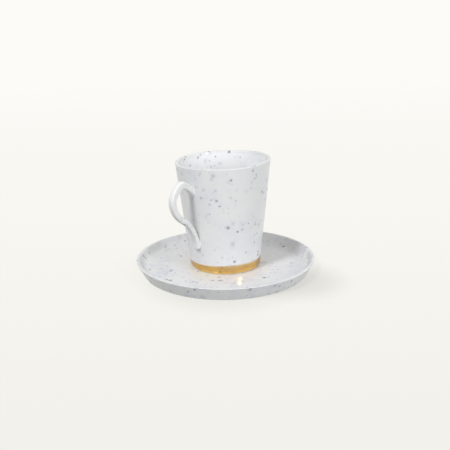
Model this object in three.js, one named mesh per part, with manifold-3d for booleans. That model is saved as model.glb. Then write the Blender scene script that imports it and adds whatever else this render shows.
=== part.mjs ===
// Cup with saucer: a conical porcelain cup with a strap handle and a gilded foot, standing on a low dish.
// Millimetres, +Z up. The origin is the centre of the saucer's standing ring, on the table.
// The handle points along -X.

import * as THREE from "three";
import { mergeVertices } from "three/addons/utils/BufferGeometryUtils.js";
import Module from "manifold-3d";

// Saucer: a flat floor with a low flaring wall, standing on a broad ring.
const SAUCER_RIM_RADIUS = 70;
const SAUCER_BASE_RADIUS = 64.4;
const SAUCER_HEIGHT = 10.1;
const SAUCER_FLOOR_HEIGHT = 3.7;
const SAUCER_WALL = 2.4;
const SAUCER_LIP_ROUND = 0.35;
const SAUCER_EDGE_ROUND = 1.5;
const SAUCER_COVE = 6;
const SAUCER_RECESS = 1.1;
const SAUCER_RING_WIDTH = 8;

// Cup body: a thin cone with a rounded lip, a coved inside and a turned standing ring.
const CUP_HEIGHT = 83.4;
const CUP_RIM_RADIUS = 35.9;
const CUP_FOOT_RADIUS = 27.3;
const CUP_WALL = 2.3;
const CUP_LIP_ROUND = 0.35;
const CUP_LIP_INNER_ROUND = 0.9;
const CUP_BASE = 4.2;
const CUP_COVE = 6;
const CUP_RECESS = 1;
const CUP_RING_WIDTH = 3.2;
const FOOT_TUCK = 0.9;
const FOOT_TUCK_HEIGHT = 2.4;

// Uneven shape left by hand making: the wall leans towards the handle, and the rim dips there.
const RIM_LEAN = 1.25;
const RIM_DIP = 1.75;

// Gilded band: a film of lustre in a shallow rebate round the foot.
const BAND_HEIGHT = 8.5;
const BAND_LIFT = 0.3;
const BAND_FILM = 0.35;
const FILM_GAP = 0.1;

// Strap handle: it leaves the wall under the rim, arches out over a thicker shoulder, and its tail runs
// down along the wall. Places and lengths are measured along the strap.
const HANDLE_REACH = 19;
const HANDLE_DROP = 10.2;
const TAIL_CLEARANCE = 12.5;
const SEAT_SINK = 0.3;
const STRAP_WIDTH = 4.8;
const STRAP_THICKNESS = 4.3;
const ROOT_WIDTH = 7.4;
const ROOT_THICKNESS = 4;
const ROOT_LENGTH = 13;
const SHOULDER_THICKNESS = 5.8;
const SHOULDER_PLACE = 21;
const SHOULDER_LENGTH = 12;
const TAIL_WIDTH = 5.6;
const TAIL_THICKNESS = 3.2;
const TAIL_LENGTH = 42;
const TIP_LENGTH = 3;
const LUTE_GAP = 0.3;

// How square the strap's section is: 2 is an ellipse, and higher values near a rectangle.
const STRAP_SQUARENESS = 4;

// Line of the strap's middle from root to tip: out from the wall as a share of the way from its seat to
// its reach, and up as a share of the way from its tip to its crest.
const HANDLE_SHAPE = [
  [-0.21, 0.8],
  [0.1, 0.932],
  [0.435, 1],
  [0.735, 0.946],
  [1, 0.822],
  [0.985, 0.68],
  [0.783, 0.554],
  [0.33, 0.405],
  [0.1, 0.247],
  [0, 0.1],
  [0, 0],
];

// Fineness of the facets.
const TURN_STEPS = 72;
const ROUND_STEPS = 4;
const STRAP_STEPS = 36;
const TIP_STEPS = 4;
const STRAP_SIDES = 14;

const wasm = await Module();
wasm.setup();

// A profile of [radius, height, rounding] corners, with each rounded corner drawn as a curve.
function roundedProfile(corners) {
  const at = (i) => new THREE.Vector2(corners[i][0], corners[i][1]);
  return corners.flatMap(([radius, height, rounding = 0], i) => {
    const corner = new THREE.Vector2(radius, height);
    if (!rounding) return [corner];
    const back = at(i - 1).sub(corner);
    const ahead = at(i + 1).sub(corner);
    const half = Math.acos(back.clone().normalize().dot(ahead.clone().normalize())) / 2;
    const reach = Math.min(rounding / Math.tan(half), back.length() / 2, ahead.length() / 2);
    const curve = new THREE.QuadraticBezierCurve(
      corner.clone().add(back.setLength(reach)),
      corner,
      corner.clone().add(ahead.setLength(reach)),
    );
    return curve.getPoints(ROUND_STEPS);
  });
}

// The solid that a profile sweeps round +Z.
function turned(profile) {
  return new THREE.LatheGeometry(profile, TURN_STEPS).rotateX(Math.PI / 2);
}

// Radius of the cup's straight outer wall at a height above the foot.
function wallRadius(height) {
  return THREE.MathUtils.mapLinear(height, 0, CUP_HEIGHT, CUP_FOOT_RADIUS, CUP_RIM_RADIUS);
}

// Radius of the cup's outside with the foot's edge rounded in.
function outerRadius(height) {
  const below = Math.max(0, 1 - height / FOOT_TUCK_HEIGHT);
  return wallRadius(height) - FOOT_TUCK * below ** 2;
}

// Heights from one level up to another that show the rounded edge of the foot.
function footHeights(from, to) {
  const edge = [FOOT_TUCK_HEIGHT / 4, FOOT_TUCK_HEIGHT / 2, FOOT_TUCK_HEIGHT];
  return [from, ...edge.filter((height) => height > from && height < to), to];
}

// Gives a cup piece the lean and the sloping rim. The standing ring stays flat.
function shapedByHand(geometry) {
  const position = geometry.getAttribute("position");
  for (let i = 0; i < position.count; i++) {
    const x = position.getX(i);
    const z = position.getZ(i);
    const slope = (RIM_DIP / CUP_RIM_RADIUS) * THREE.MathUtils.smoothstep(z, 0, BAND_HEIGHT);
    position.setX(i, x - (RIM_LEAN * z) / CUP_HEIGHT);
    position.setZ(i, z + slope * x);
  }
  return geometry;
}

function saucerGeometry() {
  const ringInner = SAUCER_BASE_RADIUS - SAUCER_RING_WIDTH;
  const flare = (SAUCER_RIM_RADIUS - SAUCER_BASE_RADIUS) / SAUCER_HEIGHT;
  const coveRadius = SAUCER_BASE_RADIUS + flare * SAUCER_FLOOR_HEIGHT - SAUCER_WALL;
  return turned(
    roundedProfile([
      [0, SAUCER_RECESS],
      [ringInner - SAUCER_RECESS, SAUCER_RECESS],
      [ringInner, 0],
      [SAUCER_BASE_RADIUS, 0, SAUCER_EDGE_ROUND],
      [SAUCER_RIM_RADIUS, SAUCER_HEIGHT, SAUCER_LIP_ROUND],
      [SAUCER_RIM_RADIUS - SAUCER_WALL, SAUCER_HEIGHT, SAUCER_LIP_ROUND],
      [coveRadius, SAUCER_FLOOR_HEIGHT, SAUCER_COVE],
      [0, SAUCER_FLOOR_HEIGHT],
    ]),
  );
}

function cupBodyGeometry() {
  const rebate = BAND_FILM + FILM_GAP;
  const rebateTop = BAND_HEIGHT + FILM_GAP;
  const ringInner = outerRadius(0) - rebate - CUP_RING_WIDTH;
  return shapedByHand(
    turned(
      roundedProfile([
        [0, CUP_RECESS],
        [ringInner - CUP_RECESS, CUP_RECESS],
        [ringInner, 0],
        ...footHeights(0, rebateTop).map((height) => [outerRadius(height) - rebate, height]),
        [outerRadius(rebateTop), rebateTop],
        [CUP_RIM_RADIUS, CUP_HEIGHT, CUP_LIP_ROUND],
        [CUP_RIM_RADIUS - CUP_WALL, CUP_HEIGHT, CUP_LIP_INNER_ROUND],
        [wallRadius(CUP_BASE) - CUP_WALL, CUP_BASE, CUP_COVE],
        [0, CUP_BASE],
      ]),
    ),
  );
}

function goldBandGeometry() {
  const heights = footHeights(BAND_LIFT, BAND_HEIGHT);
  const outside = heights.map((height) => new THREE.Vector2(outerRadius(height), height));
  const inside = heights.map((height) => new THREE.Vector2(outerRadius(height) - BAND_FILM, height));
  return shapedByHand(turned([...outside, ...inside.reverse(), outside[0]]));
}

// Line of the strap's middle on the straight cup, in the plane of the handle.
function strapLine() {
  const seat = TAIL_THICKNESS / 2 - SEAT_SINK;
  const crest = CUP_HEIGHT - HANDLE_DROP;
  const tip = BAND_HEIGHT + TAIL_CLEARANCE;
  const points = HANDLE_SHAPE.map(([outShare, upShare]) => {
    const height = THREE.MathUtils.lerp(tip, crest, upShare);
    const out = THREE.MathUtils.lerp(seat, HANDLE_REACH, outShare);
    return new THREE.Vector3(-wallRadius(height) - out, 0, height);
  });
  return new THREE.CatmullRomCurve3(points, false, "centripetal");
}

// Width and thickness of the strap at a distance along it.
function strapSize(along, length) {
  const { lerp, smoothstep } = THREE.MathUtils;
  const root = 1 - smoothstep(along, 0, ROOT_LENGTH);
  const tail = smoothstep(along, length - TAIL_LENGTH, length);
  const shoulder = 1 - smoothstep(Math.abs(along - SHOULDER_PLACE), 0, SHOULDER_LENGTH);
  const thickness = lerp(lerp(STRAP_THICKNESS, TAIL_THICKNESS, tail), ROOT_THICKNESS, root);
  return {
    width: lerp(lerp(STRAP_WIDTH, TAIL_WIDTH, tail), ROOT_WIDTH, root),
    thickness: lerp(thickness, SHOULDER_THICKNESS, shoulder),
  };
}

// One ring of points round the strap, a rounded rectangle square to the strap's line.
function strapRing(line, along, scale) {
  const length = line.getLength();
  const middle = line.getPointAt(along / length);
  const across = new THREE.Vector3(0, 1, 0);
  const outward = line.getTangentAt(along / length).cross(across);
  const { width, thickness } = strapSize(along, length);
  const squared = (value) => Math.sign(value) * Math.abs(value) ** (2 / STRAP_SQUARENESS);
  return Array.from({ length: STRAP_SIDES }, (_, side) => {
    const angle = (2 * Math.PI * side) / STRAP_SIDES;
    return middle
      .clone()
      .addScaledVector(across, (scale * width * squared(Math.cos(angle))) / 2)
      .addScaledVector(outward, (scale * thickness * squared(Math.sin(angle))) / 2);
  });
}

// Rings from the root to the tip, which closes in a round end.
function strapRings() {
  const line = strapLine();
  const tipStart = line.getLength() - TIP_LENGTH;
  const strap = Array.from({ length: STRAP_STEPS }, (_, step) =>
    strapRing(line, (tipStart * step) / STRAP_STEPS, 1),
  );
  const tip = Array.from({ length: TIP_STEPS }, (_, step) => {
    const angle = (Math.PI / 2) * (step / TIP_STEPS);
    return strapRing(line, tipStart + TIP_LENGTH * Math.sin(angle), Math.cos(angle));
  });
  return [...strap, ...tip];
}

// A closed skin over a row of rings, each with the same number of points.
function lofted(rings) {
  const sides = rings[0].length;
  const middleOf = (ring) => ring.reduce((sum, p) => sum.add(p), new THREE.Vector3()).divideScalar(sides);
  const points = [...rings.flat(), middleOf(rings[0]), middleOf(rings.at(-1))];
  const startMiddle = rings.length * sides;
  const endMiddle = startMiddle + 1;
  const index = [];
  for (let side = 0; side < sides; side++) {
    const next = (side + 1) % sides;
    for (let ring = 0; ring + 1 < rings.length; ring++) {
      const a = ring * sides + side;
      const b = ring * sides + next;
      index.push(a, b, b + sides, a, b + sides, a + sides);
    }
    const last = (rings.length - 1) * sides;
    index.push(startMiddle, next, side, endMiddle, last + side, last + next);
  }
  return new THREE.BufferGeometry().setFromPoints(points).setIndex(index);
}

function solidFrom(geometry) {
  const bare = new THREE.BufferGeometry()
    .setAttribute("position", geometry.getAttribute("position"))
    .setIndex(geometry.index);
  const merged = mergeVertices(bare);
  return new wasm.Manifold(
    new wasm.Mesh({
      numProp: 3,
      vertProperties: merged.getAttribute("position").array,
      triVerts: new Uint32Array(merged.index.array),
    }),
  );
}

function geometryFrom(solid) {
  const mesh = solid.getMesh();
  return new THREE.BufferGeometry()
    .setAttribute("position", new THREE.BufferAttribute(mesh.vertProperties, mesh.numProp))
    .setIndex(new THREE.BufferAttribute(mesh.triVerts, 1));
}

// The strap, trimmed to lie against the wall with the gap that the luting slip fills.
function handleGeometry() {
  const wall = turned([
    new THREE.Vector2(0, 0),
    new THREE.Vector2(wallRadius(0) + LUTE_GAP, 0),
    new THREE.Vector2(wallRadius(CUP_HEIGHT) + LUTE_GAP, CUP_HEIGHT),
    new THREE.Vector2(0, CUP_HEIGHT),
  ]);
  const trimmed = solidFrom(lofted(strapRings())).subtract(solidFrom(wall));
  return shapedByHand(geometryFrom(trimmed));
}

const speckledPorcelain = new THREE.MeshStandardMaterial({ color: 0xe6e8ec, roughness: 0.28, metalness: 0 });
const goldLustre = new THREE.MeshStandardMaterial({ color: 0xc99a45, roughness: 0.25, metalness: 1 });

function piece(name, geometry, material) {
  const mesh = new THREE.Mesh(geometry, material);
  mesh.name = name;
  return mesh;
}

const cup = new THREE.Group();
cup.position.z = SAUCER_FLOOR_HEIGHT;
cup.add(
  piece("cup_body", cupBodyGeometry(), speckledPorcelain),
  piece("cup_handle", handleGeometry(), speckledPorcelain.clone()),
  piece("gold_foot_band", goldBandGeometry(), goldLustre),
);

const cupWithSaucer = new THREE.Group();
cupWithSaucer.add(piece("saucer", saucerGeometry(), speckledPorcelain.clone()), cup);

export default cupWithSaucer;
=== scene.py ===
"""Looks of the cup with saucer: speckled white porcelain with a gilded foot.

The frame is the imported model's: +Z up, the saucer stands on Z = 0 and the handle points along -X.
Sizes are in millimetres, unless a comment says metres, and become metres where a mesh, node, lamp or
camera is made. Colours are red, green and blue from 0 to 255, as a picture has them.
"""

import math

import bpy
import numpy as np
from mathutils import Matrix, Vector


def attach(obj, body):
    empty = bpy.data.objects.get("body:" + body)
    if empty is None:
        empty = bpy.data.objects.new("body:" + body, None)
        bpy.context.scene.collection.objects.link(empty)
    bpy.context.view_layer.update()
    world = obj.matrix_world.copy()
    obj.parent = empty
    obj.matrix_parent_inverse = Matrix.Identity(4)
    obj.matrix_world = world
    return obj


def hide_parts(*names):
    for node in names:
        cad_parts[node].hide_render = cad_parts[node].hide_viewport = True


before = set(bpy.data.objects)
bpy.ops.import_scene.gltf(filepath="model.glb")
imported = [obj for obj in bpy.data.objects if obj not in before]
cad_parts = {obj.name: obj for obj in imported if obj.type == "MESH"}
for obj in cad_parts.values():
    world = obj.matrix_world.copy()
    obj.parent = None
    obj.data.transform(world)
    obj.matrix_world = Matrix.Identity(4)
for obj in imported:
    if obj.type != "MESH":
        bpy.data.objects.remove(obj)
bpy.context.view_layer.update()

MM = 0.001

# Saucer: a flat floor with a low flaring wall, standing on a broad ring. Its rim tilts and waves a little.
SAUCER_RIM_RADIUS = 70
SAUCER_BASE_RADIUS = 64.4
SAUCER_HEIGHT = 10.1
SAUCER_FLOOR_HEIGHT = 3.7
SAUCER_WALL = 2.4
SAUCER_LIP_ROUND = 0.35
SAUCER_EDGE_ROUND = 1.5
SAUCER_COVE = 6
SAUCER_RECESS = 1.1
SAUCER_RING_WIDTH = 8
SAUCER_TILT = 0.25
SAUCER_HIGH_SIDE = math.radians(220)
SAUCER_WOBBLE = 0.1
SAUCER_WOBBLE_WAVES = 3
SAUCER_WOBBLE_START = -1.3

# Cup body: a thin cone with a rounded lip, a coved inside and a turned standing ring.
CUP_HEIGHT = 83.4
CUP_RIM_RADIUS = 35.9
CUP_FOOT_RADIUS = 27.3
CUP_WALL = 2.3
CUP_LIP_ROUND = 0.35
CUP_LIP_INNER_ROUND = 0.9
CUP_BASE = 4.2
CUP_COVE = 6
CUP_RECESS = 1
CUP_RING_WIDTH = 3.2
FOOT_TUCK = 0.9
FOOT_TUCK_HEIGHT = 2.4
RING_EDGE_ROUND = 0.5

# Uneven shape left by hand making: the wall leans towards the handle, the rim dips there and is wavy, and
# the wall bulges on two sides, which turn with the height. A wave's parts are its count and its weight.
RIM_LEAN = 1.25
RIM_DIP = 1.75
RIM_WAVE = 0.16
RIM_WAVE_HIGH = math.radians(207)
RIM_WAVE_PARTS = ((3, 1), (5, 0.6))
RIM_WAVE_POWER = 3
WALL_WOBBLE = 0.12
WALL_WOBBLE_WAVES = 2
WALL_WOBBLE_START = 1.1
WALL_WOBBLE_TWIST = 2.2

# Gilded band: a film of lustre round the foot. Its upper edge is high on two sides and has brush marks,
# each with its weight, its count of waves and its start.
BAND_HEIGHT = 8.5
BAND_LIFT = 0.3
BAND_FILM = 0.03
BAND_TAPER = 1.2
BAND_SINK = 0.005
BAND_DEPTH = 0.12
BAND_EDGE_WAVE = 0.12
BAND_EDGE_SWAY = 0.75
BAND_EDGE_POWER = 4
BAND_HIGH_SIDE = math.radians(220)
BAND_SWAY_WAVES = 2
BAND_BRUSH_MARKS = ((0.5, 5, 0.4), (0.3, 11, 2), (0.2, 23, 1))

# Strap handle: it leaves the wall under the rim, arches out over a thick shoulder, and its tail runs down
# along the wall. The fillets are the reach of the hollow curve between strap and wall.
HANDLE_REACH = 19
HANDLE_DROP = 10.2
TAIL_CLEARANCE = 12.5
SEAT_SINK = 0.3
STRAP_WIDTH = 4.8
STRAP_THICKNESS = 4.3
ROOT_WIDTH = 6.4
ROOT_THICKNESS = 4
ROOT_LENGTH = 13
ROOT_DEPTH = 0.8
SHOULDER_THICKNESS = 5.8
SHOULDER_PLACE = 21
SHOULDER_LENGTH = 12
TAIL_WIDTH = 5.6
TAIL_THICKNESS = 3.2
TAIL_LENGTH = 42
TIP_LENGTH = 3
STRAP_SQUARENESS = 4
ROOT_SQUARENESS = 2
ROOT_FILLET = 0.4
ROOT_FILLET_SHARE = 1 / 3
TAIL_FILLET = 1.3
TIP_FILLET_SHARE = 0.15
TIP_FILLET_LENGTH = 2 * TIP_LENGTH

# Line of the strap's middle from root to tip: out from the wall as a share of the way from its seat to
# its reach, and up as a share of the way from its tip to its crest.
HANDLE_SHAPE = (
    (-0.21, 0.8),
    (0.1, 0.932),
    (0.435, 1),
    (0.735, 0.946),
    (1, 0.822),
    (0.985, 0.68),
    (0.783, 0.554),
    (0.33, 0.405),
    (0.1, 0.247),
    (0, 0.1),
    (0, 0),
)

# Fineness of the meshes.
TURN_STEPS = 240
ARC_STEPS = 10
OUTLINE_STEP = 0.8
SHORTEST_EDGE = 1e-6
BAND_STEPS = 40
STRAP_STEPS = 220
TIP_STEPS = 16
STRAP_SIDES = 72
LINE_STEPS = 24
DIRECTION_STEP = 0.2

# Glazes: the colour, how far the pattern is moved, in metres, how many specks it has, and how large it is.
SAUCER_GLAZE = {"colour": (226, 227, 229), "shift": (0.35, 0.15, 0.4), "amount": 1.8, "size": 1.25}
CUP_GLAZE = {"colour": (225, 226, 228), "shift": (0, 0, 0), "amount": 1, "size": 1}
# The handle's colour is painted lighter than the cup's glaze, in place of more light on the handle.
HANDLE_GLAZE = {"colour": (236, 237, 237), "shift": (0.47, 0.21, 0.39), "amount": 0.1, "size": 1}

# Inside of the cup: the name of the mark on its points, and the depth at which its painted light is full.
# The inside is painted whiter than the glaze, in place of more light there.
INSIDE = "inside"
INSIDE_FADE = 3
INSIDE_PAINTED_LIGHT = (243, 244, 245)

# Range that most of a noise lies in, and its middle.
NOISE_RANGE = (0.3, 0.7)
NOISE_MIDDLE = 0.5

# Layers of specks in the glaze: how far apart, how large, the share of the places that holds one, and
# how dark the darkest is. The last layer is pale smudges.
SPECK_LAYERS = (
    {"spacing": 2.5, "radius": 0.9, "share": 0.17, "darkness": 0.9},
    {"spacing": 3.8, "radius": 1.45, "share": 0.2, "darkness": 0.9},
    {"spacing": 5.5, "radius": 1.9, "share": 0.24, "darkness": 0.9},
    {"spacing": 6, "radius": 2.6, "share": 0.4, "darkness": 0.2},
)

# Specks: how suddenly a place holds one, the smallest and the faintest beside the largest and the darkest,
# the power that makes most of them faint, the solid part of the radius, and how deep the glaze dimples.
SPECK_ONSET = 0.02
SPECK_SMALLEST = 0.55
SPECK_FAINTEST = 0.15
SPECK_FAINTNESS = 2.5
SPECK_CORE = 0.45
SPECK_DIMPLE = 0.15

# Ragged edges and pale halos of the specks, and the two inks that they are made of.
RAGGED_SIZE = 0.9
RAGGED_REACH = 0.5
HALO_COLOUR = (176, 178, 206)
HALO_REACH = 2.2
HALO_STRENGTH = 0.45
INK_BLUE = (62, 66, 92)
INK_GREY = (88, 93, 106)
INK_SIZE = 5
INK_NOISE = (0.35, 0.65)

# Clusters, in which the specks crowd, the haze in them, and the milky patches of the clear glaze.
CLUSTER_SIZE = 22
CLUSTER_NOISE = (0.38, 0.66)
CLUSTER_CROWD = (-0.14, 0.12)
HAZE_COLOUR = (206, 208, 224)
HAZE_SIZE = 8
HAZE_NOISE = (0.45, 0.8)
HAZE_STRENGTH = 0.22
MILKY_COLOUR = (228, 229, 229)
MILKY_SIZE = 30

# Gloss of the glaze: a softly shining body under a thin sharp coat, with faint ripples.
GLAZE_ROUGHNESS = (0.34, 0.44)
GLAZE_IOR = 1.5
GLAZE_SPECULAR = 0.18
GLAZE_COAT = 0.35
GLAZE_COAT_ROUGHNESS = 0.03
GLOSS_SIZE = 3
RIPPLE_SIZE = 9
RIPPLE_STRENGTH = 0.08
RIPPLE_HEIGHT = 0.3

# Gold: two colours in long streaks, a painted highlight along the lower edge, and an upper edge that is paler
# partly as thin lustre and partly as a painted reflection. It is browner in patches, and darker at two sides,
# which is a painted dark reflection. The heights are above the foot, and the swing is a share of the sway of
# the band's edge.
GOLD_DARK = (208, 164, 94)
GOLD_LIGHT = (230, 192, 124)
STREAK_SIZE = 9
STREAK_FLATNESS = 9
STREAK_NOISE = (0.32, 0.68)
# Painted highlight along the lower edge of the gold.
LOW_EDGE_HIGHLIGHT = (244, 210, 134)
LOW_EDGE_HEIGHTS = (0.5, 4.2)
LOW_EDGE_STRENGTH = 0.8
HIGH_EDGE_COLOUR = (244, 230, 204)
HIGH_EDGE_HEIGHTS = (5.5, 9.3)
# The brown is partly browner lustre in patches and partly a painted dark reflection at two sides.
GOLD_BROWN_AND_DARK_REFLECTION = (182, 150, 106)
PATCH_SIZE = 7
PATCH_NOISE = (0.56, 0.8)
PATCH_STRENGTH = 0.4
SIDE_SWING = (-0.2, -1)
SIDE_STRENGTH = 0.6
GOLD_ROUGHNESS = (0.12, 0.24)
BRUSH_SIZE = 1.6
BRUSH_RELIEF = 0.4
BRUSH_STRENGTH = 0.12
BRUSH_HEIGHT = 0.1

# Camera of the photograph, in a square picture. Its angles are in radians.
CAMERA_AZIMUTH = math.radians(-47.5)
CAMERA_DISTANCE = 424.92
CAMERA_HEIGHT = 161.65
CAMERA_PITCH = 0.2896
CAMERA_ROLL = 0.0168
CAMERA_LENS = 45.39
SENSOR_WIDTH = 36

# Lamps: direction from the object in degrees, distance, width and height, and power in watts.
LAMPS = {
    "key": {"azimuth": -86, "elevation": 46, "distance": 1000, "width": 160, "height": 160, "power": 4.85},
    "fill": {"azimuth": -3, "elevation": 13, "distance": 1000, "width": 190, "height": 340, "power": 3.3},
    "side": {"azimuth": 45, "elevation": 35, "distance": 1000, "width": 600, "height": 600, "power": 1.05},
    "front": {"azimuth": -50, "elevation": 15, "distance": 1100, "width": 700, "height": 700, "power": 0.75},
}
WORLD_STRENGTH = 0.45

# Floor: its size and shadow in metres, and its colours by the metres from the object, away from the camera.
FLOOR_SIZE = 60
FLOOR_COLOURS = (
    (-2.9, (252, 251, 247)),
    (-0.22, (242, 241, 236)),
    (0.0, (246, 245, 240)),
    (0.22, (248, 247, 242)),
    (1.8, (251, 250, 246)),
    (2.9, (252, 251, 247)),
)
BACKDROP_COLOUR = FLOOR_COLOURS[-1][1]
FLOOR_BOUNCE = (168, 168, 166)
FLOOR_LIGHT = 0.97
SHADOW_SHARE = 0.15
SHADOW_NEAR = 0.068
SHADOW_FAR = 0.1

# Shade painted into the floor under the saucer and to its right, as blurred discs: place, reach, blur and
# depth.
FLOOR_SHADES = (
    {"right": -1, "towards": 26, "radius": 53, "blur": 16, "depth": 0.12},
    {"right": 51, "towards": 29, "radius": 29, "blur": 20, "depth": 0.21},
)


def unit(vector):
    return vector / np.linalg.norm(vector)


def smoothstep(value, low, high):
    share = np.clip((value - low) / (high - low), 0, 1)
    return share * share * (3 - 2 * share)


def lerp(low, high, share):
    return low + (high - low) * share


def linear(red, green, blue):
    """A colour of a picture as the linear colour that a shader takes."""
    shares = [value / 255 for value in (red, green, blue)]
    return tuple(s / 12.92 if s <= 0.04045 else ((s + 0.055) / 1.055) ** 2.4 for s in shares) + (1,)


# Shapes

def rounded_outline(corners):
    """The points of an outline of (radius, height, rounding) corners, with arcs and evenly cut straights."""
    points = []
    for i, (radius, height, rounding) in enumerate(corners):
        corner = np.array((radius, height), float)
        if not rounding:
            points.append(corner)
            continue
        back = np.array(corners[i - 1][:2]) - corner
        ahead = np.array(corners[i + 1][:2]) - corner
        half = math.acos(unit(back) @ unit(ahead)) / 2
        reach = min(rounding / math.tan(half), np.linalg.norm(back) / 2, np.linalg.norm(ahead) / 2)
        centre = corner + unit(unit(back) + unit(ahead)) * reach / math.cos(half)
        start = corner + unit(back) * reach - centre
        end = corner + unit(ahead) * reach - centre
        sweep = math.pi - 2 * half
        for share in np.linspace(0, 1, ARC_STEPS + 1):
            turn = (start * math.sin((1 - share) * sweep) + end * math.sin(share * sweep)) / math.sin(sweep)
            points.append(centre + turn)
    return evenly_cut(points)


def evenly_cut(points):
    """The same outline with points added so that none is much further than a step from the next."""
    cut = [points[0]]
    for here, there in zip(points, points[1:]):
        length = np.linalg.norm(there - here)
        if length < SHORTEST_EDGE:
            continue
        pieces = max(1, round(length / OUTLINE_STEP))
        cut += [here + (there - here) * step / pieces for step in range(1, pieces + 1)]
    return np.array(cut)


def turn_angles():
    """The angles of the steps of a full turn."""
    return np.arange(TURN_STEPS) * 2 * math.pi / TURN_STEPS


def turned(outline):
    """Rings of points round Z, one for each point of an outline of (radius, height)."""
    angles = turn_angles()
    radius, height = np.array(outline).T
    return np.stack(
        [
            np.outer(radius, np.cos(angles)),
            np.outer(radius, np.sin(angles)),
            np.repeat(height[:, None], TURN_STEPS, axis=1),
        ],
        axis=2,
    )


def skin(rings, loop=False):
    """Vertices and faces over rows of rings. Both ends close in a point, or the last ring joins the first."""
    count, sides = rings.shape[:2]
    faces = []
    for ring in range(count if loop else count - 1):
        here = ring * sides
        there = (ring + 1) % count * sides
        for side in range(sides):
            after = (side + 1) % sides
            faces.append((here + side, here + after, there + after, there + side))
    points = rings.reshape(-1, 3)
    if not loop:
        first, last = len(points), len(points) + 1
        points = np.vstack([points, rings[0].mean(axis=0), rings[-1].mean(axis=0)])
        end = (count - 1) * sides
        for side in range(sides):
            after = (side + 1) % sides
            faces.append((first, after, side))
            faces.append((last, end + side, end + after))
    return points, faces


def piece(name, shape, material, inside=None):
    """A smooth mesh object from points and faces. The inside says how much each point is marked as inside."""
    points, faces = shape
    mesh = bpy.data.meshes.new(name)
    mesh.from_pydata((points * MM).tolist(), [], faces)
    mesh.shade_smooth()
    mesh.materials.append(material)
    if inside is not None:
        marks = mesh.attributes.new(INSIDE, "FLOAT", "POINT")
        marks.data.foreach_set("value", inside)
    made = bpy.data.objects.new(name, mesh)
    bpy.context.scene.collection.objects.link(made)
    return made


def wall_radius(height):
    """Radius of the cup's straight outer wall at a height above the foot."""
    return lerp(CUP_FOOT_RADIUS, CUP_RIM_RADIUS, height / CUP_HEIGHT)


def outer_radius(height):
    """Radius of the cup's outside with the foot's edge rounded in."""
    below = np.maximum(0, 1 - height / FOOT_TUCK_HEIGHT)
    return wall_radius(height) - FOOT_TUCK * below**2


def shaped_by_hand(points):
    """Points of a straight cup as they lie in the frame, leaning, sloping, wavy and a little uneven."""
    x, y, z = np.moveaxis(np.array(points, float), -1, 0)
    angle = np.arctan2(y, x)
    share = z / CUP_HEIGHT
    reach = np.hypot(x, y) / CUP_RIM_RADIUS
    lifted = smoothstep(z, 0, BAND_HEIGHT)
    wave = sum(weight * np.cos(count * (angle - RIM_WAVE_HIGH)) for count, weight in RIM_WAVE_PARTS)
    twisted = WALL_WOBBLE_WAVES * angle + WALL_WOBBLE_START + WALL_WOBBLE_TWIST * share
    bulge = WALL_WOBBLE * np.sin(twisted) * lifted * reach
    dip = RIM_DIP / CUP_RIM_RADIUS * lifted * x
    ripple = RIM_WAVE * wave * reach * share**RIM_WAVE_POWER
    return np.stack(
        [
            x - RIM_LEAN * share + bulge * np.cos(angle),
            y + bulge * np.sin(angle),
            z + dip + ripple + SAUCER_FLOOR_HEIGHT,
        ],
        axis=-1,
    )


def saucer_shape():
    """The turned dish, with its wall raised a little and unevenly towards the rim."""
    ring_inner = SAUCER_BASE_RADIUS - SAUCER_RING_WIDTH
    flare = (SAUCER_RIM_RADIUS - SAUCER_BASE_RADIUS) / SAUCER_HEIGHT
    cove_radius = SAUCER_BASE_RADIUS + flare * SAUCER_FLOOR_HEIGHT - SAUCER_WALL
    outline = rounded_outline(
        [
            (0, SAUCER_RECESS, 0),
            (ring_inner - SAUCER_RECESS, SAUCER_RECESS, RING_EDGE_ROUND),
            (ring_inner, 0, RING_EDGE_ROUND),
            (SAUCER_BASE_RADIUS, 0, SAUCER_EDGE_ROUND),
            (SAUCER_RIM_RADIUS, SAUCER_HEIGHT, SAUCER_LIP_ROUND),
            (SAUCER_RIM_RADIUS - SAUCER_WALL, SAUCER_HEIGHT, SAUCER_LIP_ROUND),
            (cove_radius, SAUCER_FLOOR_HEIGHT, SAUCER_COVE),
            (0, SAUCER_FLOOR_HEIGHT, 0),
        ]
    )
    rings = turned(outline[1:-1])
    x, y = rings[..., 0], rings[..., 1]
    angle = np.arctan2(y, x)
    near_rim = smoothstep(np.hypot(x, y), SAUCER_BASE_RADIUS, SAUCER_RIM_RADIUS)
    tilt = SAUCER_TILT * (1 + np.cos(angle - SAUCER_HIGH_SIDE))
    wobble = SAUCER_WOBBLE * np.sin(SAUCER_WOBBLE_WAVES * angle + SAUCER_WOBBLE_START)
    rings[..., 2] += near_rim * (tilt + wobble)
    return skin(rings)


def cup_shape():
    """The turned cup, and for each of its points how much it is inside."""
    ring_inner = outer_radius(0) - CUP_RING_WIDTH
    foot = [(outer_radius(height), height, 0) for height in np.linspace(0, FOOT_TUCK_HEIGHT, ARC_STEPS)]
    outline = rounded_outline(
        [
            (0, CUP_RECESS, 0),
            (ring_inner - CUP_RECESS, CUP_RECESS, RING_EDGE_ROUND),
            (ring_inner, 0, RING_EDGE_ROUND),
            *foot,
            (CUP_RIM_RADIUS, CUP_HEIGHT, CUP_LIP_ROUND),
            (CUP_RIM_RADIUS - CUP_WALL, CUP_HEIGHT, CUP_LIP_INNER_ROUND),
            (wall_radius(CUP_BASE) - CUP_WALL, CUP_BASE, CUP_COVE),
            (0, CUP_BASE, 0),
        ]
    )
    # The inside mark fades in below the lip. Where it is full, the glaze is painted lighter in place of
    # light.
    past_lip = np.arange(len(outline)) > np.argmax(outline[:, 1])
    inside = past_lip * smoothstep(CUP_HEIGHT - outline[:, 1], 0, INSIDE_FADE)
    # The last two points close the underside, which isn't inside, and the floor, which is.
    marks = np.concatenate([np.repeat(inside[1:-1], TURN_STEPS), [0, 1]])
    return skin(shaped_by_hand(turned(outline[1:-1]))), marks


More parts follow.
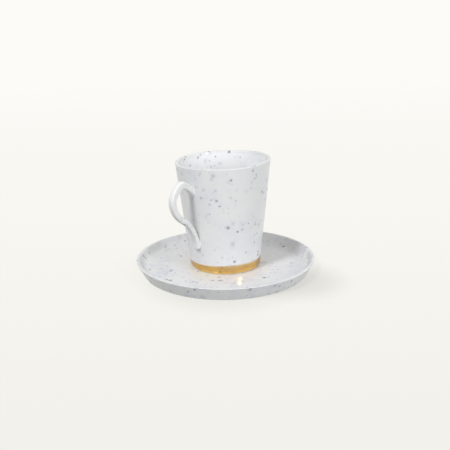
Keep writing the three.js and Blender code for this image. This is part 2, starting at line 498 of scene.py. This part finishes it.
def band_shape():
    """A thin film that tapers into the wall at both edges, with a brushed upper edge."""
    heights = np.linspace(BAND_LIFT, BAND_HEIGHT, BAND_STEPS)
    from_edge = np.minimum(heights - BAND_LIFT, BAND_HEIGHT - heights)
    swell = BAND_FILM * smoothstep(from_edge, 0, BAND_TAPER) - BAND_SINK
    heights = np.concatenate([heights, heights[::-1]])[:, None]
    clear = np.concatenate([swell, np.full(BAND_STEPS, -BAND_DEPTH)])[:, None]
    angle = turn_angles()
    brush = sum(weight * np.sin(count * angle + start) for weight, count, start in BAND_BRUSH_MARKS)
    sway = BAND_EDGE_SWAY * np.cos(BAND_SWAY_WAVES * (angle - BAND_HIGH_SIDE))
    near_edge = (heights / BAND_HEIGHT) ** BAND_EDGE_POWER
    up = heights + (sway + BAND_EDGE_WAVE * brush) * near_edge
    radius = outer_radius(up) + clear
    rings = np.stack([radius * np.cos(angle), radius * np.sin(angle), up], axis=2)
    return skin(shaped_by_hand(rings), loop=True)


def smooth_line(points):
    """A smooth curve through points, cut finely: a centripetal spline with its ends mirrored."""
    padded = np.vstack([2 * points[0] - points[1], points, 2 * points[-1] - points[-2]])
    line = []
    for p0, p1, p2, p3 in zip(padded, padded[1:], padded[2:], padded[3:]):
        gaps = [math.sqrt(np.linalg.norm(b - a)) for a, b in ((p0, p1), (p1, p2), (p2, p3))]
        t1, t2, t3 = np.cumsum(gaps)
        for t in np.linspace(t1, t2, LINE_STEPS, endpoint=False):
            a1 = lerp(p0, p1, t / t1)
            a2 = lerp(p1, p2, (t - t1) / (t2 - t1))
            a3 = lerp(p2, p3, (t - t2) / (t3 - t2))
            b1 = lerp(a1, a2, t / t2)
            b2 = lerp(a2, a3, (t - t1) / (t3 - t1))
            line.append(lerp(b1, b2, (t - t1) / (t2 - t1)))
    return np.vstack([line, points[-1]])


def strap_line():
    """Points (x, z) of the strap's middle on the straight cup, and their distances along it."""
    seat = TAIL_THICKNESS / 2 - SEAT_SINK
    crest = CUP_HEIGHT - HANDLE_DROP
    tip = BAND_HEIGHT + TAIL_CLEARANCE
    points = []
    for out_share, up_share in HANDLE_SHAPE:
        height = lerp(tip, crest, up_share)
        points.append((-wall_radius(height) - lerp(seat, HANDLE_REACH, out_share), height))
    line = smooth_line(np.array(points))
    along = np.concatenate([[0], np.cumsum(np.linalg.norm(np.diff(line, axis=0), axis=1))])
    return line, along


def strap_section(station, length):
    """Width, thickness and squareness of the strap at a station, the distance from its root."""
    root = 1 - smoothstep(station, 0, ROOT_LENGTH)
    tail = smoothstep(station, length - TAIL_LENGTH, length)
    shoulder = 1 - smoothstep(abs(station - SHOULDER_PLACE), 0, SHOULDER_LENGTH)
    width = lerp(lerp(STRAP_WIDTH, TAIL_WIDTH, tail), ROOT_WIDTH, root)
    thickness = lerp(lerp(STRAP_THICKNESS, TAIL_THICKNESS, tail), ROOT_THICKNESS, root)
    thickness = lerp(thickness, SHOULDER_THICKNESS, shoulder)
    return width, thickness, lerp(STRAP_SQUARENESS, ROOT_SQUARENESS, root)


def strap_fillet(station, length):
    """Reach of the hollow curve between strap and wall at a station, small at the root and at the tip."""
    near_root = 1 - smoothstep(station, 0, length * ROOT_FILLET_SHARE)
    before_tip = smoothstep(length - station, 0, TIP_FILLET_LENGTH)
    return lerp(TAIL_FILLET, ROOT_FILLET, near_root) * lerp(TIP_FILLET_SHARE, 1, before_tip)


def strap_ring(middle, ahead, width, thickness, squareness):
    """A rounded rectangle of points square to the strap, and the way that each of them faces."""
    angles = np.arange(STRAP_SIDES) * 2 * math.pi / STRAP_SIDES
    power = 2 / squareness
    across = np.sign(np.cos(angles)) * np.abs(np.cos(angles)) ** power
    outward = np.sign(np.sin(angles)) * np.abs(np.sin(angles)) ** power
    out_x, out_z = -ahead[1], ahead[0]
    points = np.stack(
        [
            middle[0] + out_x * outward * thickness / 2,
            across * width / 2,
            middle[1] + out_z * outward * thickness / 2,
        ],
        axis=1,
    )
    lean = np.abs(outward) ** (squareness - 1) * np.sign(outward) / thickness
    side = np.abs(across) ** (squareness - 1) * np.sign(across) / width
    faces = np.stack([out_x * lean, side, out_z * lean], axis=1)
    return points, faces / np.linalg.norm(faces, axis=1, keepdims=True)


def luted(points, faces, fillet):
    """Strap points near the wall, spread along it so that the strap runs into the wall in a hollow curve."""
    slope = (CUP_RIM_RADIUS - CUP_FOOT_RADIUS) / CUP_HEIGHT
    square = 1 / math.hypot(1, slope)
    radius = np.hypot(points[:, 0], points[:, 1])
    clear = np.maximum((radius - wall_radius(points[:, 2])) * square, -ROOT_DEPTH)
    wall_face = np.stack([points[:, 0] / radius, points[:, 1] / radius, np.full_like(radius, -slope)], axis=1)
    wall_face *= square
    along_wall = faces - wall_face * np.einsum("ij,ij->i", faces, wall_face)[:, None]
    share = np.sqrt(np.clip(clear / fillet, 0, 1))
    push = fillet * (1 - share) ** 2 + np.maximum(-clear, 0)
    spread = points + along_wall * push[:, None]
    radius = np.hypot(spread[:, 0], spread[:, 1])
    wanted = wall_radius(spread[:, 2]) + clear / square
    spread[:, :2] *= (wanted / radius)[:, None]
    return spread


def handle_shape():
    """The strap as rings along its line, which shrink to a round end at the tip."""
    line, along = strap_line()
    length = along[-1]
    tip_start = length - TIP_LENGTH
    stations = [(tip_start * step / STRAP_STEPS, 1) for step in range(STRAP_STEPS)]
    for angle in np.linspace(0, math.pi / 2, TIP_STEPS, endpoint=False):
        stations.append((tip_start + TIP_LENGTH * math.sin(angle), math.cos(angle)))

    def middle(station):
        return np.array([np.interp(station, along, line[:, axis]) for axis in range(2)])

    rings = []
    for station, scale in stations:
        ahead = unit(middle(station + DIRECTION_STEP) - middle(station - DIRECTION_STEP))
        width, thickness, squareness = strap_section(station, length)
        points, faces = strap_ring(middle(station), ahead, width * scale, thickness * scale, squareness)
        rings.append(luted(points, faces, strap_fillet(station, length)))
    return skin(shaped_by_hand(np.array(rings)))


# Nodes

def add(tree, kind, inputs=None, **settings):
    """A new node with its settings, and each input given a value or linked to an output."""
    made = tree.nodes.new("ShaderNode" + kind)
    for name, value in settings.items():
        setattr(made, name, value)
    for name, value in (inputs or {}).items():
        if isinstance(value, bpy.types.NodeSocket):
            tree.links.new(value, made.inputs[name])
        else:
            made.inputs[name].default_value = value
    return made


def new_material(name):
    """A material and its node tree, which is still empty."""
    material = bpy.data.materials.new(name)
    material.use_nodes = True
    material.node_tree.nodes.clear()
    return material, material.node_tree


def principled(tree, inputs):
    """The principled shader with its inputs, as the surface of a material."""
    shader = add(tree, "BsdfPrincipled", inputs)
    add(tree, "OutputMaterial", {"Surface": shader.outputs["BSDF"]})


def object_place(tree):
    """The place in the object's own frame, in metres."""
    return add(tree, "TexCoord").outputs["Object"]


def mapped(tree, value, span, onto=(0, 1), smooth=False):
    """A value mapped from one range onto another, held at the ends."""
    ends = {"Value": value, "From Min": span[0], "From Max": span[1], "To Min": onto[0], "To Max": onto[1]}
    kind = "SMOOTHSTEP" if smooth else "LINEAR"
    return add(tree, "MapRange", ends, interpolation_type=kind).outputs["Result"]


def math_node(tree, operation, first, second=0):
    return add(tree, "Math", {0: first, 1: second}, operation=operation).outputs["Value"]


def vector_node(tree, operation, inputs, output="Vector"):
    return add(tree, "VectorMath", inputs, operation=operation).outputs[output]


def noise(tree, place, size, detail=2, rough=0.5, output="Fac"):
    """Smooth noise from 0 to 1 whose lumps are about a size. Its Color output holds three of them."""
    inputs = {"Vector": place, "Scale": 1 / (size * MM), "Detail": detail, "Roughness": rough}
    return add(tree, "TexNoise", inputs).outputs[output]


def mixed(tree, share, first, second):
    """A colour between two colours. The colour sockets go by number, because others have the same names."""
    return add(tree, "Mix", {"Factor": share, 6: first, 7: second}, data_type="RGBA").outputs[2]


# Glaze

def ragged(tree, place):
    """A place nudged a little by fine noise, which gives the specks ragged edges."""
    fine = noise(tree, place, RAGGED_SIZE, detail=1, output="Color")
    offset = vector_node(tree, "SUBTRACT", {0: fine, 1: (NOISE_MIDDLE,) * 3})
    nudge = vector_node(tree, "SCALE", {0: offset, "Scale": RAGGED_REACH * MM})
    return vector_node(tree, "ADD", {0: place, 1: nudge})


def specks(tree, place, crowd, amount, spacing, radius, share, darkness):
    """How much of a point is covered by a layer of specks, and how much by the paler halos round them.

    The specks lie about a spacing apart in depth too and reach a radius. A share of the places, times the
    amount, holds one, more of them where the crowd value is high. Most of them are faint.
    """
    cells = add(tree, "TexVoronoi", {"Vector": place, "Scale": 1 / (spacing * MM)})
    random = add(tree, "SeparateColor", {"Color": cells.outputs["Color"]})
    luck = math_node(tree, "ADD", random.outputs["Red"], crowd)
    empty = 1 - share * amount
    largest = mapped(tree, luck, (empty, empty + SPECK_ONSET), (0, radius / spacing))
    shrink = mapped(tree, random.outputs["Blue"], (0, 1), (SPECK_SMALLEST, 1))
    size = math_node(tree, "MULTIPLY", largest, shrink)
    faint = math_node(tree, "POWER", random.outputs["Green"], SPECK_FAINTNESS)
    strength = mapped(tree, faint, (0, 1), (SPECK_FAINTEST * darkness, darkness))
    layers = []
    for start, end in ((1, SPECK_CORE), (HALO_REACH, 0)):
        outer = math_node(tree, "MULTIPLY", size, start)
        inner = math_node(tree, "MULTIPLY", size, end)
        cover = mapped(tree, cells.outputs["Distance"], (outer, inner), smooth=True)
        layers.append(math_node(tree, "MULTIPLY", cover, strength))
    return layers


def all_specks(tree, place, crowd, amount):
    """How much of a point the specks of all layers cover, and how much their halos do."""
    cover, halo = 0, 0
    for layer in SPECK_LAYERS:
        layer_cover, layer_halo = specks(tree, place, crowd, amount, **layer)
        cover = math_node(tree, "MAXIMUM", cover, layer_cover)
        halo = math_node(tree, "MAXIMUM", halo, layer_halo)
    return cover, halo


def clear_glaze(tree, place, crowd, colour, amount):
    """The glaze without its specks: milky in patches, painted lighter inside the cup in place of light there,
    and hazy in the clusters.
    """
    milky = mapped(tree, noise(tree, place, MILKY_SIZE), NOISE_RANGE)
    body = mixed(tree, milky, linear(*colour), linear(*MILKY_COLOUR))
    # Painted light: the inside of the cup is painted whiter than its glaze.
    inside = add(tree, "Attribute", attribute_name=INSIDE).outputs["Fac"]
    white = mixed(tree, inside, body, linear(*INSIDE_PAINTED_LIGHT))
    gathered = math_node(tree, "ADD", noise(tree, place, HAZE_SIZE), crowd)
    haze = mapped(tree, gathered, HAZE_NOISE, (0, HAZE_STRENGTH * amount), smooth=True)
    return mixed(tree, haze, white, linear(*HAZE_COLOUR))


def glaze(name, colour, shift, amount, size):
    """White glaze with blue-grey specks that gather in clusters, and a faint haze of the same blue.

    The shift moves the pattern, so that the pieces differ, and the size stretches it. The amount is how
    many specks there are, with 1 for the cup.
    """
    material, tree = new_material(name)
    placing = {"Vector": object_place(tree), "Location": shift, "Scale": (1 / size,) * 3}
    place = add(tree, "Mapping", placing).outputs["Vector"]
    crowd = mapped(tree, noise(tree, place, CLUSTER_SIZE, detail=1.5), CLUSTER_NOISE, CLUSTER_CROWD)
    cover, halo = all_specks(tree, ragged(tree, place), crowd, amount)

    clear = clear_glaze(tree, place, crowd, colour, amount)
    ringed = mixed(tree, math_node(tree, "MULTIPLY", halo, HALO_STRENGTH), clear, linear(*HALO_COLOUR))
    tint = mapped(tree, noise(tree, place, INK_SIZE, detail=0), INK_NOISE)
    ink = mixed(tree, tint, linear(*INK_BLUE), linear(*INK_GREY))

    dimples = math_node(tree, "MULTIPLY", cover, SPECK_DIMPLE)
    relief = math_node(tree, "SUBTRACT", noise(tree, place, RIPPLE_SIZE), dimples)
    bump = add(tree, "Bump", {"Height": relief, "Strength": RIPPLE_STRENGTH, "Distance": RIPPLE_HEIGHT * MM})
    principled(
        tree,
        {
            "Base Color": mixed(tree, cover, ringed, ink),
            "Roughness": mapped(tree, noise(tree, place, GLOSS_SIZE), NOISE_RANGE, GLAZE_ROUGHNESS),
            "Normal": bump.outputs["Normal"],
            "IOR": GLAZE_IOR,
            "Specular IOR Level": GLAZE_SPECULAR,
            "Coat Weight": GLAZE_COAT,
            "Coat Roughness": GLAZE_COAT_ROUGHNESS,
        },
    )
    return material


# Gold

def above_foot(heights):
    """Heights above the cup's foot as heights in the frame, in metres."""
    return [(SAUCER_FLOOR_HEIGHT + height) * MM for height in heights]


def brown_and_dark_reflection_share(tree, coordinates, place):
    """How brown the gold is in patches, and how dark at the two sides where the band is low, which is a
    painted dark reflection.
    """
    patches = mapped(tree, noise(tree, coordinates, PATCH_SIZE), PATCH_NOISE, (0, PATCH_STRENGTH))
    # Painted dark reflection at the two sides where the band's edge is low.
    turn = math_node(tree, "ARCTAN2", place["Y"], place["X"])
    waves = math_node(tree, "MULTIPLY", turn, BAND_SWAY_WAVES)
    swing = math_node(tree, "COSINE", math_node(tree, "SUBTRACT", waves, BAND_SWAY_WAVES * BAND_HIGH_SIDE))
    sides = mapped(tree, swing, SIDE_SWING, (0, SIDE_STRENGTH), smooth=True)
    return math_node(tree, "MAXIMUM", patches, sides)


def gold(name):
    """Brushed-on lustre: gold with long faint streaks, a painted highlight along the lower edge, a paler
    upper edge that is partly thin lustre and partly a painted reflection, browner patches, and a painted dark
    reflection at two sides.
    """
    material, tree = new_material(name)
    coordinates = object_place(tree)
    place = add(tree, "SeparateXYZ", {"Vector": coordinates}).outputs
    flattened = {"Vector": coordinates, "Scale": (1, 1, STREAK_FLATNESS)}
    stretched = add(tree, "Mapping", flattened).outputs["Vector"]
    streaks = noise(tree, stretched, STREAK_SIZE, detail=3, rough=0.6)
    fine = noise(tree, stretched, BRUSH_SIZE, rough=0.6)

    streaked = mixed(tree, mapped(tree, streaks, STREAK_NOISE), linear(*GOLD_DARK), linear(*GOLD_LIGHT))
    # A painted highlight along the lower edge, and a paler upper edge that is partly thin lustre and partly a
    # painted reflection.
    low = mapped(tree, place["Z"], above_foot(LOW_EDGE_HEIGHTS), (LOW_EDGE_STRENGTH, 0), smooth=True)
    high = mapped(tree, place["Z"], above_foot(HIGH_EDGE_HEIGHTS), smooth=True)
    lower = mixed(tree, low, streaked, linear(*LOW_EDGE_HIGHLIGHT))
    upper = mixed(tree, high, lower, linear(*HIGH_EDGE_COLOUR))

    relief = math_node(tree, "ADD", streaks, math_node(tree, "MULTIPLY", fine, BRUSH_RELIEF))
    bump = add(tree, "Bump", {"Height": relief, "Strength": BRUSH_STRENGTH, "Distance": BRUSH_HEIGHT * MM})
    # Mixed in below: brown patches of the lustre and a painted dark reflection at two sides.
    principled(
        tree,
        {
            "Base Color": mixed(tree, brown_and_dark_reflection_share(tree, coordinates, place), upper, linear(*GOLD_BROWN_AND_DARK_REFLECTION)),
            "Roughness": mapped(tree, fine, NOISE_RANGE, GOLD_ROUGHNESS),
            "Normal": bump.outputs["Normal"],
            "Metallic": 1,
        },
    )
    return material


# Floor, world, lamps and camera

def direction(azimuth, elevation):
    """The way from the object to a place at an azimuth and elevation, with azimuth 0 along -Y."""
    level = math.cos(elevation)
    return Vector((math.sin(azimuth) * level, -math.cos(azimuth) * level, math.sin(elevation)))


def seen_directly(tree):
    """One for rays from the camera, and for those that a mirror or glass passes on."""
    path = add(tree, "LightPath")
    mirrored = math_node(tree, "MAXIMUM", path.outputs["Is Glossy Ray"], path.outputs["Is Transmission Ray"])
    return math_node(tree, "MAXIMUM", path.outputs["Is Camera Ray"], mirrored)


def floor_colour(tree, coordinates):
    """The floor's colour, which changes with the way from the object, away from the camera."""
    away = add(tree, "SeparateXYZ", {"Vector": coordinates}).outputs["Y"]
    near, far = FLOOR_COLOURS[0][0], FLOOR_COLOURS[-1][0]
    ramp = add(tree, "ValToRGB", {"Fac": mapped(tree, away, (near, far))})
    stops = ramp.color_ramp.elements
    for place, colour in FLOOR_COLOURS[1:-1]:
        stops.new((place - near) / (far - near)).color = linear(*colour)
    stops[0].color = linear(*FLOOR_COLOURS[0][1])
    stops[-1].color = linear(*FLOOR_COLOURS[-1][1])
    return ramp.outputs["Color"]


def floor_glow(tree, coordinates, share):
    """How strongly the floor shows its own colour: less where real light has a share, and in the painted
    shades.
    """
    glow = mapped(tree, share, (0, 1), (1, 1 - FLOOR_LIGHT))
    # Painted shade: blurred discs that dim the floor's own glow.
    for shade in FLOOR_SHADES:
        middle = (shade["right"] * MM, -shade["towards"] * MM, 0)
        reach = vector_node(tree, "DISTANCE", {0: coordinates, 1: middle}, output="Value")
        inner = (shade["radius"] - shade["blur"]) * MM
        outer = (shade["radius"] + shade["blur"]) * MM
        kept = mapped(tree, reach, (inner, outer), (1 - shade["depth"], 1), smooth=True)
        glow = math_node(tree, "MULTIPLY", glow, kept)
    return glow


def floor_material():
    """A pale floor: its own colour where it is seen, with the object's real shadow in it close by, and
    painted shade.
    """
    material, tree = new_material("pale_floor")
    coordinates = object_place(tree)
    colour = floor_colour(tree, coordinates)
    distance = vector_node(tree, "LENGTH", {0: coordinates}, output="Value")
    share = mapped(tree, distance, (SHADOW_NEAR, SHADOW_FAR), (SHADOW_SHARE, 0), smooth=True)
    own = add(tree, "Emission", {"Color": colour, "Strength": floor_glow(tree, coordinates, share)})
    shadowed = add(tree, "BsdfDiffuse", {"Color": mixed(tree, share, (0, 0, 0, 1), colour)})
    shown = add(tree, "AddShader", {0: own.outputs["Emission"], 1: shadowed.outputs["BSDF"]})
    lit = add(tree, "BsdfDiffuse", {"Color": linear(*FLOOR_BOUNCE)})
    inputs = {0: seen_directly(tree), 1: lit.outputs["BSDF"], 2: shown.outputs["Shader"]}
    choice = add(tree, "MixShader", inputs)
    add(tree, "OutputMaterial", {"Surface": choice.outputs["Shader"]})
    return material


def make_floor():
    """A square floor whose Y points away from the camera."""
    half = FLOOR_SIZE / 2
    corners = [(-half, -half, 0), (half, -half, 0), (half, half, 0), (-half, half, 0)]
    mesh = bpy.data.meshes.new("floor")
    mesh.from_pydata(corners, [], [(0, 1, 2, 3)])
    mesh.materials.append(floor_material())
    made = bpy.data.objects.new("floor", mesh)
    made.rotation_euler.z = CAMERA_AZIMUTH
    bpy.context.scene.collection.objects.link(made)


def make_world():
    """Soft white light from all round, and a pale backdrop where it is seen."""
    world = bpy.data.worlds.new("studio")
    bpy.context.scene.world = world
    world.use_nodes = True
    tree = world.node_tree
    tree.nodes.clear()
    soft = add(tree, "Background", {"Color": (1, 1, 1, 1), "Strength": WORLD_STRENGTH})
    backdrop = add(tree, "Background", {"Color": linear(*BACKDROP_COLOUR), "Strength": 1})
    inputs = {0: seen_directly(tree), 1: soft.outputs["Background"], 2: backdrop.outputs["Background"]}
    choice = add(tree, "MixShader", inputs)
    add(tree, "OutputWorld", {"Surface": choice.outputs["Shader"]})


def make_lamp(name, azimuth, elevation, distance, width, height, power):
    """A rectangular lamp that faces the middle of the cup."""
    light = bpy.data.lights.new(name, "AREA")
    light.shape = "RECTANGLE"
    light.size = width * MM
    light.size_y = height * MM
    light.energy = power
    lamp = bpy.data.objects.new(name, light)
    away = direction(math.radians(azimuth), math.radians(elevation))
    middle = Vector((0, 0, CUP_HEIGHT / 2 * MM))
    lamp.location = middle + away * distance * MM
    lamp.rotation_euler = away.to_track_quat("Z", "Y").to_euler()
    lamp.visible_camera = False
    bpy.context.scene.collection.objects.link(lamp)


def make_camera():
    """The camera of the photograph, which leans down and rolls a little."""
    data = bpy.data.cameras.new("camera")
    data.lens = CAMERA_LENS
    data.sensor_width = SENSOR_WIDTH
    camera = bpy.data.objects.new("camera", data)
    back = direction(CAMERA_AZIMUTH, CAMERA_PITCH)
    level = direction(CAMERA_AZIMUTH, 0) * CAMERA_DISTANCE * MM
    place = Matrix.Translation(level + Vector((0, 0, CAMERA_HEIGHT * MM)))
    facing = back.to_track_quat("Z", "Y").to_matrix().to_4x4()
    camera.matrix_world = place @ facing @ Matrix.Rotation(-CAMERA_ROLL, 4, "Z")
    bpy.context.scene.collection.objects.link(camera)
    bpy.context.scene.camera = camera


# Pieces

saucer_glaze = glaze("saucer_speckled_glaze", **SAUCER_GLAZE)
cup_glaze = glaze("cup_speckled_glaze", **CUP_GLAZE)
handle_glaze = glaze("handle_glaze", **HANDLE_GLAZE)
gold_lustre = gold("brushed_gold_lustre")

saucer = piece("saucer_dish", saucer_shape(), saucer_glaze)
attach(saucer, "saucer")
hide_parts("saucer")

cup_mesh, cup_inside = cup_shape()
cup = piece("cup_wall", cup_mesh, cup_glaze, cup_inside)
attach(cup, "cup")
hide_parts("cup_body")

handle = piece("strap_handle", handle_shape(), handle_glaze)
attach(handle, "cup")
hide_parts("cup_handle")

band = piece("gold_band", band_shape(), gold_lustre)
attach(band, "cup")
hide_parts("gold_foot_band")

# Studio

make_floor()
make_world()
for lamp_name, lamp in LAMPS.items():
    make_lamp(lamp_name, **lamp)
make_camera()
bpy.context.scene.view_settings.view_transform = "Standard"
